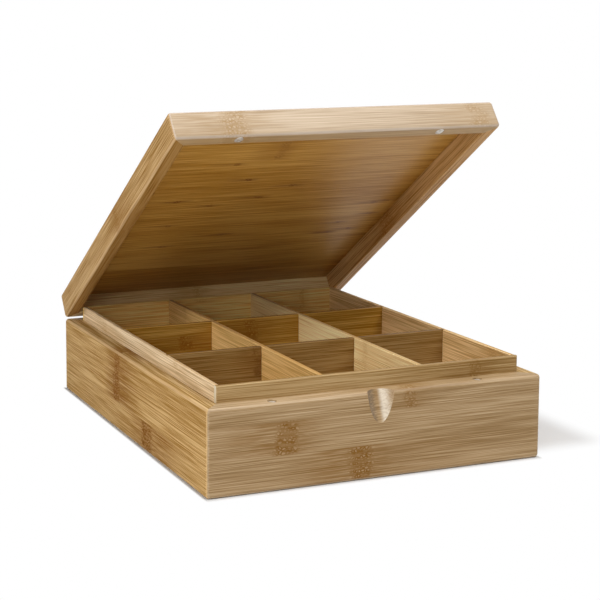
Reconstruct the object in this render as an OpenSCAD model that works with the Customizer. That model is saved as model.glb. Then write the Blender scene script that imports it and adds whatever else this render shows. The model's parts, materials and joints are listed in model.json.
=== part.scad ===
// Tea bag organizer box: a bamboo box with a lining that stands above its rim as a lip, a lapped
// divider grid of nine compartments, and a hinged lid whose rim drops over the lip.
//
// Frame: Z up, the front faces -Y, the origin is the centre of the underside.
// The box stands on z = 0. The lid is drawn closed and then turned open about the hinge axis.

/* [Box] */
// Width of the box, left to right
box_w = 240; // [210:1:300]
// Depth of the box, front to back
box_d = 280; // [240:1:340]
// Height of the rim, the flat top of the outer walls
rim_h = 56.5; // [45:0.5:80]
// Thickness of the outer walls
wall_t = 11; // [10:0.5:14]
// Rounding of the outer edges of the box and the lid
edge_r = 2.5; // [1.5:0.25:3]
// Thickness of the bottom panel
base_t = 4; // [3:0.5:6]
// Width of the ledge in the walls that the bottom panel sits in
base_ledge = 5; // [3:0.5:6]
// Thickness of the glue line in the mitred corners
glue_line = 0.05; // [0.02:0.01:0.08]

/* [Lining] */
// Thickness of the boards that line the walls
liner_t = 3.2; // [2.5:0.1:4]
// Height of the lip, the part of the lining above the rim
lip_h = 11; // [8:0.5:13]
// Easing of the lining's top edges
lip_ease = 0.8; // [0.4:0.1:1.2]

/* [Dividers] */
// Thickness of the dividers
divider_t = 3.5; // [3:0.1:5]
// Easing of the dividers' top edges
divider_ease = 0.5; // [0.2:0.1:1]
// Depth of the grooves in the lining that hold the dividers' ends
dado_depth = 1.5; // [1:0.1:2]
// Play on each side of a divider in a groove or a lap
slot_play = 0.1; // [0.05:0.05:0.2]
// Gap between a divider's end and the bottom of its groove
dado_end_gap = 0.3; // [0.1:0.1:0.5]

/* [Lid] */
// Height of the lid's rails
lid_h = 20; // [18:0.5:30]
// Depth of the recess under the lid panel, which the lip enters
lid_recess = 14.5; // [13.5:0.5:15]
// Play between the lip and the lid's rails
lid_play = 1.5; // [1:0.1:2]
// Gap between the rim and the closed lid
lid_gap = 1; // [0.8:0.1:1.2]
// Angle of the lid as it stands, from closed
lid_open = 35; // [0:0.5:100]
// Easing of the rails' lower inner edges
rail_ease = 0.8; // [0.3:0.1:1.2]
// Width of the ledge in the rails that the lid panel sits in
panel_ledge = 3; // [2:0.5:4]
// Drop of the panel's face below the rails' top
panel_drop = 0.3; // [0:0.1:0.6]
// Gap round the lid panel and round the bottom panel
panel_gap = 0.2; // [0.1:0.05:0.4]

/* [Hinges] */
// Distance of each hinge's middle from the side of the box
hinge_inset = 45; // [40:1:65]
// Length of a hinge
hinge_len = 30; // [24:1:40]
// Distance of the hinge axis from the rear face
axis_inset = 1.5; // [1.3:0.1:1.7]
// Outer diameter of the knuckles
knuckle_d = 4; // [3.6:0.1:4.2]
// Thickness of the leaves
leaf_t = 1; // [0.8:0.1:1.1]
// Gap between the two leaves when the lid is closed
leaf_gap = 0.3; // [0.2:0.05:0.4]
// Diameter of the pin
pin_d = 2; // [1.6:0.1:2.2]
// Running clearance between the pin and the knuckles, on the radius
pin_play = 0.05; // [0.02:0.01:0.1]

/* [Screws] */
// Diameter of the screw heads
head_d = 3.4; // [2.8:0.1:3.6]
// Diameter of the screw shanks
shank_d = 1.6; // [1.4:0.1:1.8]
// Length of the screws
screw_len = 8; // [6:0.5:10]

/* [Magnets] */
// Distance of each magnet from the side of the box
magnet_inset = 46; // [30:1:65]
// Diameter of the magnets
magnet_d = 6; // [4:0.5:6.5]
// Thickness of the magnets
magnet_t = 3; // [2:0.5:4]
// Depth of the rim magnets below the rim
magnet_sink = 1; // [0.5:0.1:1.5]

/* [Finger notch] */
// Width of the notch at the rim
notch_w = 20; // [16:0.5:26]
// Depth of the notch into the front wall, at the rim
notch_depth = 7; // [5:0.5:8]
// Height over which the notch runs out to the front face
notch_drop = 20.5; // [15:0.5:30]

/* [Hidden] */

$fn = 64;

// Sides of a frame, as the turn about Z that brings the front board there
front = 0;
right = 90;
back = 180;
left = 270;

// A cutter reaches this far past the face it cuts
over = 1;

// Room inside the walls, and inside the lining
room_w = box_w - 2 * wall_t;
room_d = box_d - 2 * wall_t;
inner_w = room_w - 2 * liner_t;
inner_d = room_d - 2 * liner_t;

// The dividers part the inner room in three equal cells each way
divider_x = (inner_w - 2 * divider_t) / 6 + divider_t / 2;
divider_y = (inner_d - 2 * divider_t) / 6 + divider_t / 2;

// The lining and the dividers stand on the bottom panel, and end at one height
lining_top = rim_h + lip_h;
board_h = lining_top - base_t;
lap_z = base_t + board_h / 2;
slot_w = divider_t + 2 * slot_play;

// The lid's rails stand over the walls, clear of the lip
rail_t = wall_t - lid_play;
lid_z = rim_h + lid_gap;

// Hinge axis, and the leaves on each side of it
hinge_x = box_w / 2 - hinge_inset;
axis_y = box_d / 2 - axis_inset;
axis_z = rim_h + lid_gap / 2;
leaf_margin = 1;
leaf_w = rail_t - axis_inset - leaf_margin;
leaf_corner_r = 1;
knuckle_gap = 0.3;
knuckle_l = (hinge_len - 2 * knuckle_gap) / 3;
relief_r = knuckle_d / 2 + knuckle_gap;
fit_gap = 0.1;

// The pin's ends are peened to low heads
pin_head_d = pin_d + 1;
pin_head_l = 0.5;

// Screws, two to a leaf
screw_x = hinge_len / 3;
screw_y = (leaf_w + relief_r) / 2;
screw_play = 0.05;
screw_tip_l = 1.5;
driver_w = 0.4;
driver_l = 1.8;
driver_depth = 0.5;

// Magnets lie in the middle of the front rail, and face each other across the gap
magnet_x = box_w / 2 - magnet_inset;
magnet_y = rail_t / 2 - box_d / 2;
magnet_chamfer = 0.3;

// The notch is part of a round bore that leans out of the front wall
notch_r = (notch_w * notch_w / 4 + notch_depth * notch_depth) / (2 * notch_depth);
notch_lean = atan(notch_depth / notch_drop);

// Colours of the boards and the fittings
bamboo_wall = "#b8905c";
bamboo_pale = "#d2b184";
bamboo_grid = "#a67c4a";
bamboo_rail = "#cba876";
bamboo_panel = "#a07440";
brass = "#b5954f";
steel = "#b4b7ba";

// ---- Shared shapes ----

// Outline w x h, middle of its base on the origin, with its four corners rounded to r
module rounded_outline(w, h, r) {
    x = w / 2 - r;
    translate([-w / 2, r])
        square([w, h - 2 * r]);
    translate([-x, 0])
        square([2 * x, h]);
    for (sx = [-1, 1], y = [r, h - r])
        translate([sx * x, y])
            circle(r = r);
}

// Post on z = 0 with round ends, the corner of a block
module corner_post(h, r) {
    rotate_extrude()
        intersection() {
            union() {
                translate([-r, r])
                    square([2 * r, h - 2 * r]);
                for (y = [r, h - r])
                    translate([0, y])
                        circle(r = r);
            }
            square([r, h]);
        }
}

// Block w x d x h on z = 0 with every edge rounded to r
module rounded_block(w, d, h, r) {
    x = w / 2 - r;
    y = d / 2 - r;
    translate([-x, 0, 0])
        rotate([90, 0, 90])
            linear_extrude(2 * x)
                rounded_outline(d, h, r);
    translate([0, y, 0])
        rotate([90, 0, 0])
            linear_extrude(2 * y)
                rounded_outline(w, h, r);
    for (sx = [-1, 1], sy = [-1, 1])
        translate([sx * x, sy * y, 0])
            corner_post(h, r);
}

// The sliver that rounding takes off a square corner at the origin of the first quadrant
module corner_waste(r) {
    difference() {
        translate([-over, -over])
            square(r + over);
        translate([r, r])
            circle(r = r);
        translate([r, -over])
            square(2 * r + over);
        translate([-over, r])
            square(2 * r + over);
    }
}

// Outline w x h from the origin, with its two top corners eased
module eased_top(w, h, ease) {
    difference() {
        square([w, h]);
        translate([0, h])
            mirror([0, 1])
                corner_waste(ease);
        translate([w, h])
            rotate(180)
                corner_waste(ease);
    }
}

// Extrudes an outline drawn in Y and Z along X, with its middle on x = 0
module along_x(length) {
    translate([-length / 2, 0, 0])
        rotate([90, 0, 90])
            linear_extrude(length)
                children();
}

// Board along X with its outer face on y = 0 and 45 degree mitres at both ends, each held back by
// half the glue line. It reaches past the outer face, z = 0 and z = h, so that only its inner face
// and its mitres cut a block.
module mitred_board(length, thick, h) {
    outer_x = length / 2 + over - glue_line / sqrt(2);
    inner_x = outer_x - over - thick;
    translate([0, 0, -over])
        linear_extrude(h + 2 * over)
            polygon([
                [-outer_x, -over],
                [outer_x, -over],
                [inner_x, thick],
                [-inner_x, thick]
            ]);
}

// Length of the board on a side of a frame w x d, and the width of the frame across it
function side_length(side, w, d) = side % 180 == 0 ? w : d;
function side_reach(side, w, d) = side % 180 == 0 ? d : w;

// Puts a board drawn along X, outer face on y = 0, on its side of a frame w x d
module on_side(side, w, d) {
    rotate([0, 0, side])
        translate([0, -side_reach(side, w, d) / 2, 0])
            children();
}

// Turns the closed lid's pieces about the hinge axis to where the lid stands
module as_open() {
    translate([0, axis_y, axis_z])
        rotate([-lid_open, 0, 0])
            translate([0, -axis_y, -axis_z])
                children();
}

// ---- Outer walls ----

// Mitred wall board, with the ledge for the bottom panel
module wall(side) {
    length = side_length(side, box_w, box_d);
    difference() {
        intersection() {
            rounded_block(box_w, box_d, rim_h, edge_r);
            on_side(side, box_w, box_d)
                mitred_board(length, wall_t, rim_h);
        }
        on_side(side, box_w, box_d)
            translate([-length / 2, wall_t - base_ledge, -over])
                cube([length, base_ledge + over, base_t + over]);
    }
}

// Round bore that leans out of the front wall and leaves the finger notch
module notch_cutter() {
    reach = notch_drop / cos(notch_lean) + notch_r;
    translate([0, notch_depth - box_d / 2, rim_h])
        rotate([-notch_lean, 0, 0])
            translate([0, -notch_r, -reach])
                cylinder(r = notch_r, h = reach + notch_r);
}

// Blind holes in the rim for the magnets
module rim_magnet_holes() {
    depth = magnet_sink + magnet_t;
    for (sx = [-1, 1])
        translate([sx * magnet_x, magnet_y, rim_h - depth])
            cylinder(d = magnet_d + 2 * fit_gap, h = depth + over);
}

module wall_front() {
    color(bamboo_wall)
        difference() {
            wall(front);
            notch_cutter();
            rim_magnet_holes();
        }
}

module wall_back() {
    color(bamboo_wall)
        difference() {
            wall(back);
            for (sx = [-1, 1])
                translate([sx * hinge_x, axis_y, axis_z])
                    hinge_mortise();
        }
}

module wall_left() {
    color(bamboo_wall)
        wall(left);
}

module wall_right() {
    color(bamboo_wall)
        wall(right);
}

// ---- Bottom panel ----

module base_panel() {
    w = room_w + 2 * (base_ledge - panel_gap);
    d = room_d + 2 * (base_ledge - panel_gap);
    color(bamboo_panel)
        translate([-w / 2, -d / 2, 0])
            cube([w, d, base_t]);
}

// ---- Lining ----

// Groove in a lining board, drawn with the board's inner face on y = liner_t
module dado(x) {
    translate([x - slot_w / 2, liner_t - dado_depth, base_t - over])
        cube([slot_w, dado_depth + over, board_h + 2 * over]);
}

// Lining board along X with its outer face on y = 0 and a groove at each side of its middle
module liner_board(length, groove_x) {
    difference() {
        translate([0, 0, base_t])
            along_x(length)
                eased_top(liner_t, board_h, lip_ease);
        dado(-groove_x);
        dado(groove_x);
    }
}

// The front and back boards run the full width, and their ends show at the lip's corners
module end_liner(side) {
    color(bamboo_pale)
        intersection() {
            on_side(side, room_w, room_d)
                liner_board(room_w, divider_x);
            lip_corners();
        }
}

// The lining's outer form in plan, with its standing corners eased
module lip_corners() {
    translate([-room_w / 2, -room_d / 2, 0])
        linear_extrude(lining_top + over)
            difference() {
                square([room_w, room_d]);
                corner_waste(lip_ease);
                translate([room_w, 0])
                    mirror([1, 0])
                        corner_waste(lip_ease);
                translate([0, room_d])
                    mirror([0, 1])
                        corner_waste(lip_ease);
                translate([room_w, room_d])
                    rotate(180)
                        corner_waste(lip_ease);
            }
}

// The side boards butt between the front and back boards
module side_liner(side) {
    color(bamboo_pale)
        on_side(side, room_w, room_d)
            liner_board(inner_d, divider_y);
}

module liner_front() {
    end_liner(front);
}

module liner_back() {
    end_liner(back);
}

module liner_left() {
    side_liner(left);
}

module liner_right() {
    side_liner(right);
}

// ---- Dividers ----

// Divider along X, its ends in the grooves of the lining, without its laps
module divider_board(span) {
    length = span + 2 * (dado_depth - dado_end_gap);
    translate([0, -divider_t / 2, base_t])
        along_x(length)
            eased_top(divider_t, board_h, divider_ease);
}

// Slots at -x and x between two heights, for the dividers that cross this one
module lap_slots(x, bottom, top) {
    for (sx = [-1, 1])
        translate([sx * x - slot_w / 2, -divider_t, bottom])
            cube([slot_w, 2 * divider_t, top - bottom]);
}

// Front to back divider, slotted from below
module long_divider(x) {
    color(bamboo_grid)
        translate([x, 0, 0])
            rotate([0, 0, 90])
                difference() {
                    divider_board(inner_d);
                    lap_slots(divider_y, base_t - over, lap_z + slot_play);
                }
}

// Left to right divider, slotted from above
module cross_divider(y) {
    color(bamboo_grid)
        translate([0, y, 0])
            difference() {
                divider_board(inner_w);
                lap_slots(divider_x, lap_z - slot_play, lining_top + over);
            }
}

module divider_long_left() {
    long_divider(-divider_x);
}

module divider_long_right() {
    long_divider(divider_x);
}

module divider_cross_front() {
    cross_divider(-divider_y);
}

module divider_cross_rear() {
    cross_divider(divider_y);
}

// ---- Magnets ----

// Round magnet on z = 0 with chamfered rims
module magnet() {
    r = magnet_d / 2;
    rim_r = r - magnet_chamfer;
    rotate_extrude()
        polygon([
            [0, 0],
            [rim_r, 0],
            [r, magnet_chamfer],
            [r, magnet_t - magnet_chamfer],
            [rim_r, magnet_t],
            [0, magnet_t]
        ]);
}

module magnet_pair(z) {
    for (sx = [-1, 1])
        translate([sx * magnet_x, magnet_y, z])
            magnet();
}

module box_magnets() {
    color(steel)
        magnet_pair(rim_h - magnet_sink - magnet_t);
}

module lid_magnets() {
    color(steel)
        as_open()
            magnet_pair(lid_z);
}

// ---- Hinges ----
// A hinge is drawn with its axis along X through the origin, the box's leaf below the axis and
// the lid's above it. Both leaves reach forwards, to -Y.

function knuckle_start(i) = -hinge_len / 2 + i * (knuckle_l + knuckle_gap);

// Rod along X from x = start
module rod(start, length, r) {
    translate([start, 0, 0])
        rotate([0, 90, 0])
            cylinder(r = r, h = length);
}

// Plate of a leaf, grown by a play all round, from the axis forwards and below the axis
module leaf_plate(play) {
    w = hinge_len + 2 * play;
    d = leaf_w + play;
    r = leaf_corner_r + play;
    translate([-w / 2, -d, -leaf_gap / 2 - leaf_t])
        linear_extrude(leaf_t)
            difference() {
                square([w, d]);
                corner_waste(r);
                translate([w, 0])
                    mirror([1, 0])
                        corner_waste(r);
            }
}

// Both screws of a leaf, grown by a play, heads up on the leaf's upper face
module leaf_screws(play) {
    for (sx = [-1, 1])
        translate([sx * screw_x, -screw_y, -leaf_gap / 2])
            screw_body(play);
}

// Countersunk screw, head up on z = 0, grown by a play
module screw_body(play) {
    head_r = head_d / 2 + play;
    shank_r = shank_d / 2 + play;
    head_h = head_r - shank_r;
    rotate_extrude()
        polygon([
            [0, 0],
            [head_r, 0],
            [shank_r, -head_h],
            [shank_r, screw_tip_l - screw_len - play],
            [0, -screw_len - play]
        ]);
}

// Leaf below the axis: its own knuckles, and room for the other leaf's
module hinge_leaf(own, other) {
    difference() {
        union() {
            leaf_plate(0);
            for (i = own)
                rod(knuckle_start(i), knuckle_l, knuckle_d / 2);
        }
        for (i = other)
            rod(knuckle_start(i) - knuckle_gap, knuckle_l + 2 * knuckle_gap, relief_r);
        rod(-hinge_len, 2 * hinge_len, pin_d / 2 + pin_play);
        leaf_screws(screw_play);
    }
}

// What a hinge takes out of the wood below it: the leaf's bed, the barrel's groove, the pilots
module hinge_mortise() {
    barrel_l = hinge_len + 4 * pin_head_l;
    translate([0, 0, leaf_t])
        leaf_plate(fit_gap);
    leaf_plate(fit_gap);
    rod(-barrel_l / 2, barrel_l, relief_r);
    leaf_screws(fit_gap);
}

// Pin with a low head at each end
module hinge_pin(sx) {
    head_gap = 0.1;
    length = hinge_len + 2 * head_gap;
    color(steel)
        translate([sx * hinge_x, axis_y, axis_z]) {
            rod(-length / 2, length, pin_d / 2);
            rod(-length / 2 - pin_head_l, pin_head_l, pin_head_d / 2);
            rod(length / 2, pin_head_l, pin_head_d / 2);
        }
}

module hinge_box_leaf(sx) {
    color(brass)
        translate([sx * hinge_x, axis_y, axis_z])
            hinge_leaf([0, 2], [1]);
}

module hinge_lid_leaf(sx) {
    color(brass)
        as_open()
            translate([sx * hinge_x, axis_y, axis_z])
                mirror([0, 0, 1])
                    hinge_leaf([1], [0, 2]);
}

// The screws of one leaf, with a cross recess in each head
module hinge_screws() {
    difference() {
        leaf_screws(0);
        for (sx = [-1, 1], turn = [0, 90])
            translate([sx * screw_x, -screw_y, -leaf_gap / 2 - driver_depth])
                rotate([0, 0, turn])
                    translate([-driver_l / 2, -driver_w / 2, 0])
                        cube([driver_l, driver_w, driver_depth + over]);
    }
}

module hinge_box_leaf_left() {
    hinge_box_leaf(-1);
}

module hinge_box_leaf_right() {
    hinge_box_leaf(1);
}

module hinge_lid_leaf_left() {
    hinge_lid_leaf(-1);
}

module hinge_lid_leaf_right() {
    hinge_lid_leaf(1);
}

module hinge_pin_left() {
    hinge_pin(-1);
}

module hinge_pin_right() {
    hinge_pin(1);
}

module box_hinge_screws() {
    color(steel)
        for (sx = [-1, 1])
            translate([sx * hinge_x, axis_y, axis_z])
                hinge_screws();
}

module lid_hinge_screws() {
    color(steel)
        as_open()
            for (sx = [-1, 1])
                translate([sx * hinge_x, axis_y, axis_z])
                    mirror([0, 0, 1])
                        hinge_screws();
}

// ---- Lid ----

// What is cut along a rail: the easing of its lower inner edge, and the ledge for the panel
module rail_waste() {
    translate([rail_t, 0])
        mirror([1, 0])
            corner_waste(rail_ease);
    translate([rail_t - panel_ledge, lid_recess])
        square([panel_ledge + over, lid_h]);
}

// Mitred rail of the closed lid
module rail(side) {
    length = side_length(side, box_w, box_d);
    translate([0, 0, lid_z])
        difference() {
            intersection() {
                rounded_block(box_w, box_d, lid_h, edge_r);
                on_side(side, box_w, box_d)
                    mitred_board(length, rail_t, lid_h);
            }
            on_side(side, box_w, box_d)
                along_x(length)
                    rail_waste();
        }
}

module lid_rail_front() {
    color(bamboo_rail)
        as_open()
            difference() {
                rail(front);
                for (sx = [-1, 1])
                    translate([sx * magnet_x, magnet_y, lid_z - over])
                        cylinder(d = magnet_d + 2 * fit_gap, h = magnet_t + over);
            }
}

module lid_rail_back() {
    color(bamboo_rail)
        as_open()
            difference() {
                rail(back);
                for (sx = [-1, 1])
                    translate([sx * hinge_x, axis_y, axis_z])
                        mirror([0, 0, 1])
                            hinge_mortise();
            }
}

module lid_rail_left() {
    color(bamboo_rail)
        as_open()
            rail(left);
}

module lid_rail_right() {
    color(bamboo_rail)
        as_open()
            rail(right);
}

module lid_panel() {
    inset = rail_t - panel_ledge + panel_gap;
    w = box_w - 2 * inset;
    d = box_d - 2 * inset;
    color(bamboo_panel)
        as_open()
            translate([-w / 2, -d / 2, lid_z + lid_recess])
                cube([w, d, lid_h - lid_recess - panel_drop]);
}

wall_front();
wall_back();
wall_left();
wall_right();
base_panel();
liner_front();
liner_back();
liner_left();
liner_right();
divider_long_left();
divider_long_right();
divider_cross_front();
divider_cross_rear();
box_magnets();
hinge_box_leaf_left();
hinge_box_leaf_right();
box_hinge_screws();
hinge_pin_left();
hinge_pin_right();
lid_rail_front();
lid_rail_back();
lid_rail_left();
lid_rail_right();
lid_panel();
lid_magnets();
hinge_lid_leaf_left();
hinge_lid_leaf_right();
lid_hinge_screws();
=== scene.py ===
"""Looks of a bamboo organizer box with nine compartments and a hinged lid.

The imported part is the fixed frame. Every board of it is dressed as laminated bamboo: strips side by
side, fibres along the board, and the knuckles of the cane where they fall. The fittings are brushed
brass, plated steel and nickel. All lengths are in metres.
"""

import json
import logging
import math
from dataclasses import asdict, dataclass
from enum import Enum

import bpy
import numpy as np
from mathutils import Matrix, Vector

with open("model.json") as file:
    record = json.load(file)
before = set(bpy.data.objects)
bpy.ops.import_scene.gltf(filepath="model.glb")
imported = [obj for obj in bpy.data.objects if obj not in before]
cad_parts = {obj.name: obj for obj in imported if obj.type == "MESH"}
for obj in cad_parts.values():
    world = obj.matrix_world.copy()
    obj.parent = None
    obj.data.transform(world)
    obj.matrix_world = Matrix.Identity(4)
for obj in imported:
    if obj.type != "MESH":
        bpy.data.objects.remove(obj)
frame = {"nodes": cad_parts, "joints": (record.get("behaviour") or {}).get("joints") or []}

LOG = logging.getLogger("organizer_box")

Colour = tuple[float, float, float]
Point = tuple[float, float, float]
Tint = tuple[int, int, int]

# Kinds of sockets of node groups
COLOUR = "NodeSocketColor"
NUMBER = "NodeSocketFloat"
VECTOR = "NodeSocketVector"
WHITE: Colour = (1.0, 1.0, 1.0)
# The palest that a board's tint is lifted to
BRIGHTEST: Tint = (250, 245, 235)
# Scattered knuckles: the share of a strip's width that is too little for one, how far into its
# stretch of the board a knuckle may lie, and the spans of strength and half length
NARROW_STRIP = 0.2
KNUCKLE_SPREAD = (0.15, 0.85)
KNUCKLE_STRENGTHS = (0.45, 0.85)
KNUCKLE_LENGTHS = (0.0035, 0.006)


# ---------------------------------------------------------------------------
# Small helpers
# ---------------------------------------------------------------------------


def linear(red: int, green: int, blue: int) -> Colour:
    """Turns a colour as seen on a screen into the linear values that shaders use.

    Args:
        red: Red, 0 to 255.
        green: Green, 0 to 255.
        blue: Blue, 0 to 255.

    Returns:
        The linear colour.
    """
    values = np.array([red, green, blue]) / 255.0
    low = values / 12.92
    high = ((values + 0.055) / 1.055) ** 2.4
    mixed = np.where(values <= 0.04045, low, high)
    return (float(mixed[0]), float(mixed[1]), float(mixed[2]))


class Axis(Enum):
    """A direction of the box, or of the closed lid."""

    X = (1.0, 0.0, 0.0)
    Y = (0.0, 1.0, 0.0)
    Z = (0.0, 0.0, 1.0)

    @property
    def vector(self) -> Vector:
        """The axis as a vector."""
        return Vector(self.value)


class NodeDesk:
    """Lays out shader nodes in rows in a tree, and joins them."""

    ROW_LENGTH = 8
    SPACING = (200.0, -250.0)

    def __init__(self, tree: bpy.types.NodeTree) -> None:
        """Starts an empty tree.

        Args:
            tree: The tree of a material or of a node group.
        """
        self.tree = tree
        self.tree.nodes.clear()
        self.count = 0

    def add(self, kind: str, **settings: object) -> bpy.types.Node:
        """Adds one node.

        Args:
            kind: Blender's name of the node's type.
            settings: Properties of the node.

        Returns:
            The node.
        """
        node = self.tree.nodes.new(kind)
        row, column = divmod(self.count, self.ROW_LENGTH)
        node.location = (column * self.SPACING[0], row * self.SPACING[1])
        self.count += 1
        for name, value in settings.items():
            setattr(node, name, value)
        return node

    def join(self, source: object, target: bpy.types.NodeSocket) -> None:
        """Sets a socket: links another socket to it, or gives it a plain value.

        Args:
            source: A node socket, a number or a tuple of numbers. A colour has no alpha.
            target: The input to set.
        """
        if isinstance(source, bpy.types.NodeSocket):
            self.tree.links.new(source, target)
        elif target.type == "RGBA":
            target.default_value = (*source, 1.0)
        else:
            target.default_value = source

    def fill(self, node: bpy.types.Node, values: dict[str, object]) -> bpy.types.Node:
        """Sets inputs of a node by their names.

        Args:
            node: The node.
            values: A socket or a plain value for each name.

        Returns:
            The node.
        """
        for name, value in values.items():
            self.join(value, node.inputs[name])
        return node

    def group(self, name: str, values: dict[str, object]) -> bpy.types.Node:
        """Adds a node group and sets its inputs.

        Args:
            name: Name of the group.
            values: A socket or a plain value for each input.

        Returns:
            The node.
        """
        return self.fill(self.add("ShaderNodeGroup", node_tree=bpy.data.node_groups[name]), values)

    def math(
        self, operation: str, first: object, second: object = 0.0, third: object = 0.0
    ) -> object:
        """Adds a Math node and returns its result.

        Args:
            operation: The operation's name.
            first: First value or socket.
            second: Second value or socket.
            third: Third value or socket.

        Returns:
            The output socket.
        """
        node = self.add("ShaderNodeMath", operation=operation)
        for socket, value in zip(node.inputs, (first, second, third)):
            self.join(value, socket)
        return node.outputs[0]

    def times(self, *factors: object) -> object:
        """Multiplies values, from the last one to the first.

        Args:
            factors: Values or sockets.

        Returns:
            The output socket.
        """
        product = factors[-1]
        for factor in reversed(factors[:-1]):
            product = self.math("MULTIPLY", factor, product)
        return product

    def remap(
        self,
        value: object,
        low: object,
        high: object,
        start: object = 0.0,
        end: object = 1.0,
        how: str = "SMOOTHSTEP",
    ) -> object:
        """Maps a value from one span to another, and stops at the span's ends.

        Args:
            value: The value to map.
            low: Where the first span starts.
            high: Where the first span ends.
            start: Result at low.
            end: Result at high.
            how: Blender's name of the interpolation.

        Returns:
            The output socket.
        """
        node = self.add("ShaderNodeMapRange", interpolation_type=how)
        self.fill(node, {"Value": value, "From Min": low, "From Max": high, "To Min": start, "To Max": end})
        return node.outputs["Result"]

    def blend(self, share: object, first: object, second: object, how: str = "MIX") -> object:
        """Mixes two colours.

        Args:
            share: How much of the second colour shows.
            first: First colour.
            second: Second colour.
            how: Blend type.

        Returns:
            The output socket.
        """
        node = self.add("ShaderNodeMix", data_type="RGBA", blend_type=how)
        self.join(share, node.inputs[0])
        self.join(first, node.inputs[6])
        self.join(second, node.inputs[7])
        return node.outputs[2]

    def mix(self, share: object, first: bpy.types.Node, second: bpy.types.Node) -> bpy.types.Node:
        """Mixes the shaders of two nodes.

        Args:
            share: How much of the second shader shows.
            first: First shader's node.
            second: Second shader's node.

        Returns:
            The node.
        """
        node = self.add("ShaderNodeMixShader")
        for socket, value in zip(node.inputs, (share, first.outputs[0], second.outputs[0])):
            self.join(value, socket)
        return node

    def scaled(self, vector: object, scale: Point, shift: object = (0.0, 0.0, 0.0)) -> object:
        """Scales a vector by an amount along each axis, and shifts it.

        Args:
            vector: The vector's socket.
            scale: Factors along X, Y and Z.
            shift: What is added afterwards.

        Returns:
            The output socket.
        """
        node = self.add("ShaderNodeVectorMath", operation="MULTIPLY_ADD")
        for socket, value in zip(node.inputs, (vector, scale, shift)):
            self.join(value, socket)
        return node.outputs[0]

    def noise(self, vector: object, scale: float, detail: float, rough: float = 0.6) -> object:
        """Adds a noise texture and returns its value.

        Args:
            vector: Where the noise is read.
            scale: Waves per unit of the vector.
            detail: Number of finer octaves.
            rough: Strength of the finer octaves.

        Returns:
            The output socket.
        """
        node = self.add("ShaderNodeTexNoise", noise_dimensions="3D")
        self.fill(node, {"Vector": vector, "Scale": scale, "Detail": detail, "Roughness": rough})
        return node.outputs["Fac"]

    def random(self, value: object) -> object:
        """Gives a fixed random number for each value.

        Args:
            value: The value's socket.

        Returns:
            The output socket.
        """
        node = self.add("ShaderNodeTexWhiteNoise", noise_dimensions="1D")
        self.join(value, node.inputs["W"])
        return node.outputs["Value"]

    def split(self, vector: object) -> tuple[object, object, object]:
        """Splits a vector in its three parts.

        Args:
            vector: The vector's socket.

        Returns:
            The sockets of X, Y and Z.
        """
        node = self.add("ShaderNodeSeparateXYZ")
        self.join(vector, node.inputs[0])
        return node.outputs[0], node.outputs[1], node.outputs[2]

    def surface(self, values: dict[str, object], height: object, bump: float, depth: float) -> None:
        """Adds a Principled shader with a bump, and joins it to the material's output.

        Args:
            values: The shader's inputs by name.
            height: Height of the bump.
            bump: Strength of the bump.
            depth: Distance that a height of 1 stands for.
        """
        relief = self.add("ShaderNodeBump")
        self.fill(relief, {"Strength": bump, "Distance": depth, "Height": height})
        shader = self.add("ShaderNodeBsdfPrincipled")
        self.fill(shader, {**values, "Normal": relief.outputs["Normal"]})
        self.fill(self.add("ShaderNodeOutputMaterial"), {"Surface": shader.outputs["BSDF"]})


def start_group(
    name: str, inputs: dict[str, object], outputs: dict[str, str]
) -> tuple[NodeDesk, dict[str, bpy.types.NodeSocket], bpy.types.Node]:
    """Makes a shader node group with named inputs and outputs.

    Args:
        name: Name of the group.
        inputs: Each input's default: a number, a colour, or None for a vector.
        outputs: Each output's kind of socket.

    Returns:
        The group's desk, its inputs by name, and the node that takes its outputs.
    """
    tree = bpy.data.node_groups.new(name, "ShaderNodeTree")
    for item, default in inputs.items():
        kind = VECTOR if default is None else COLOUR if isinstance(default, tuple) else NUMBER
        made = tree.interface.new_socket(name=item, in_out="INPUT", socket_type=kind)
        if default is not None:
            made.default_value = (*default, 1.0) if kind == COLOUR else default
    for item, kind in outputs.items():
        tree.interface.new_socket(name=item, in_out="OUTPUT", socket_type=kind)
    desk = NodeDesk(tree)
    source = desk.add("NodeGroupInput")
    return desk, {item: source.outputs[item] for item in inputs}, desk.add("NodeGroupOutput")


def start_material(name: str) -> tuple[bpy.types.Material, NodeDesk, bpy.types.Node]:
    """Makes a material.

    Args:
        name: Name of the material.

    Returns:
        The material, its desk, and its Texture Coordinate node.
    """
    material = bpy.data.materials.new(name)
    material.use_nodes = True
    desk = NodeDesk(material.node_tree)
    return material, desk, desk.add("ShaderNodeTexCoord")


# ---------------------------------------------------------------------------
# Shared effects
# ---------------------------------------------------------------------------


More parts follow.
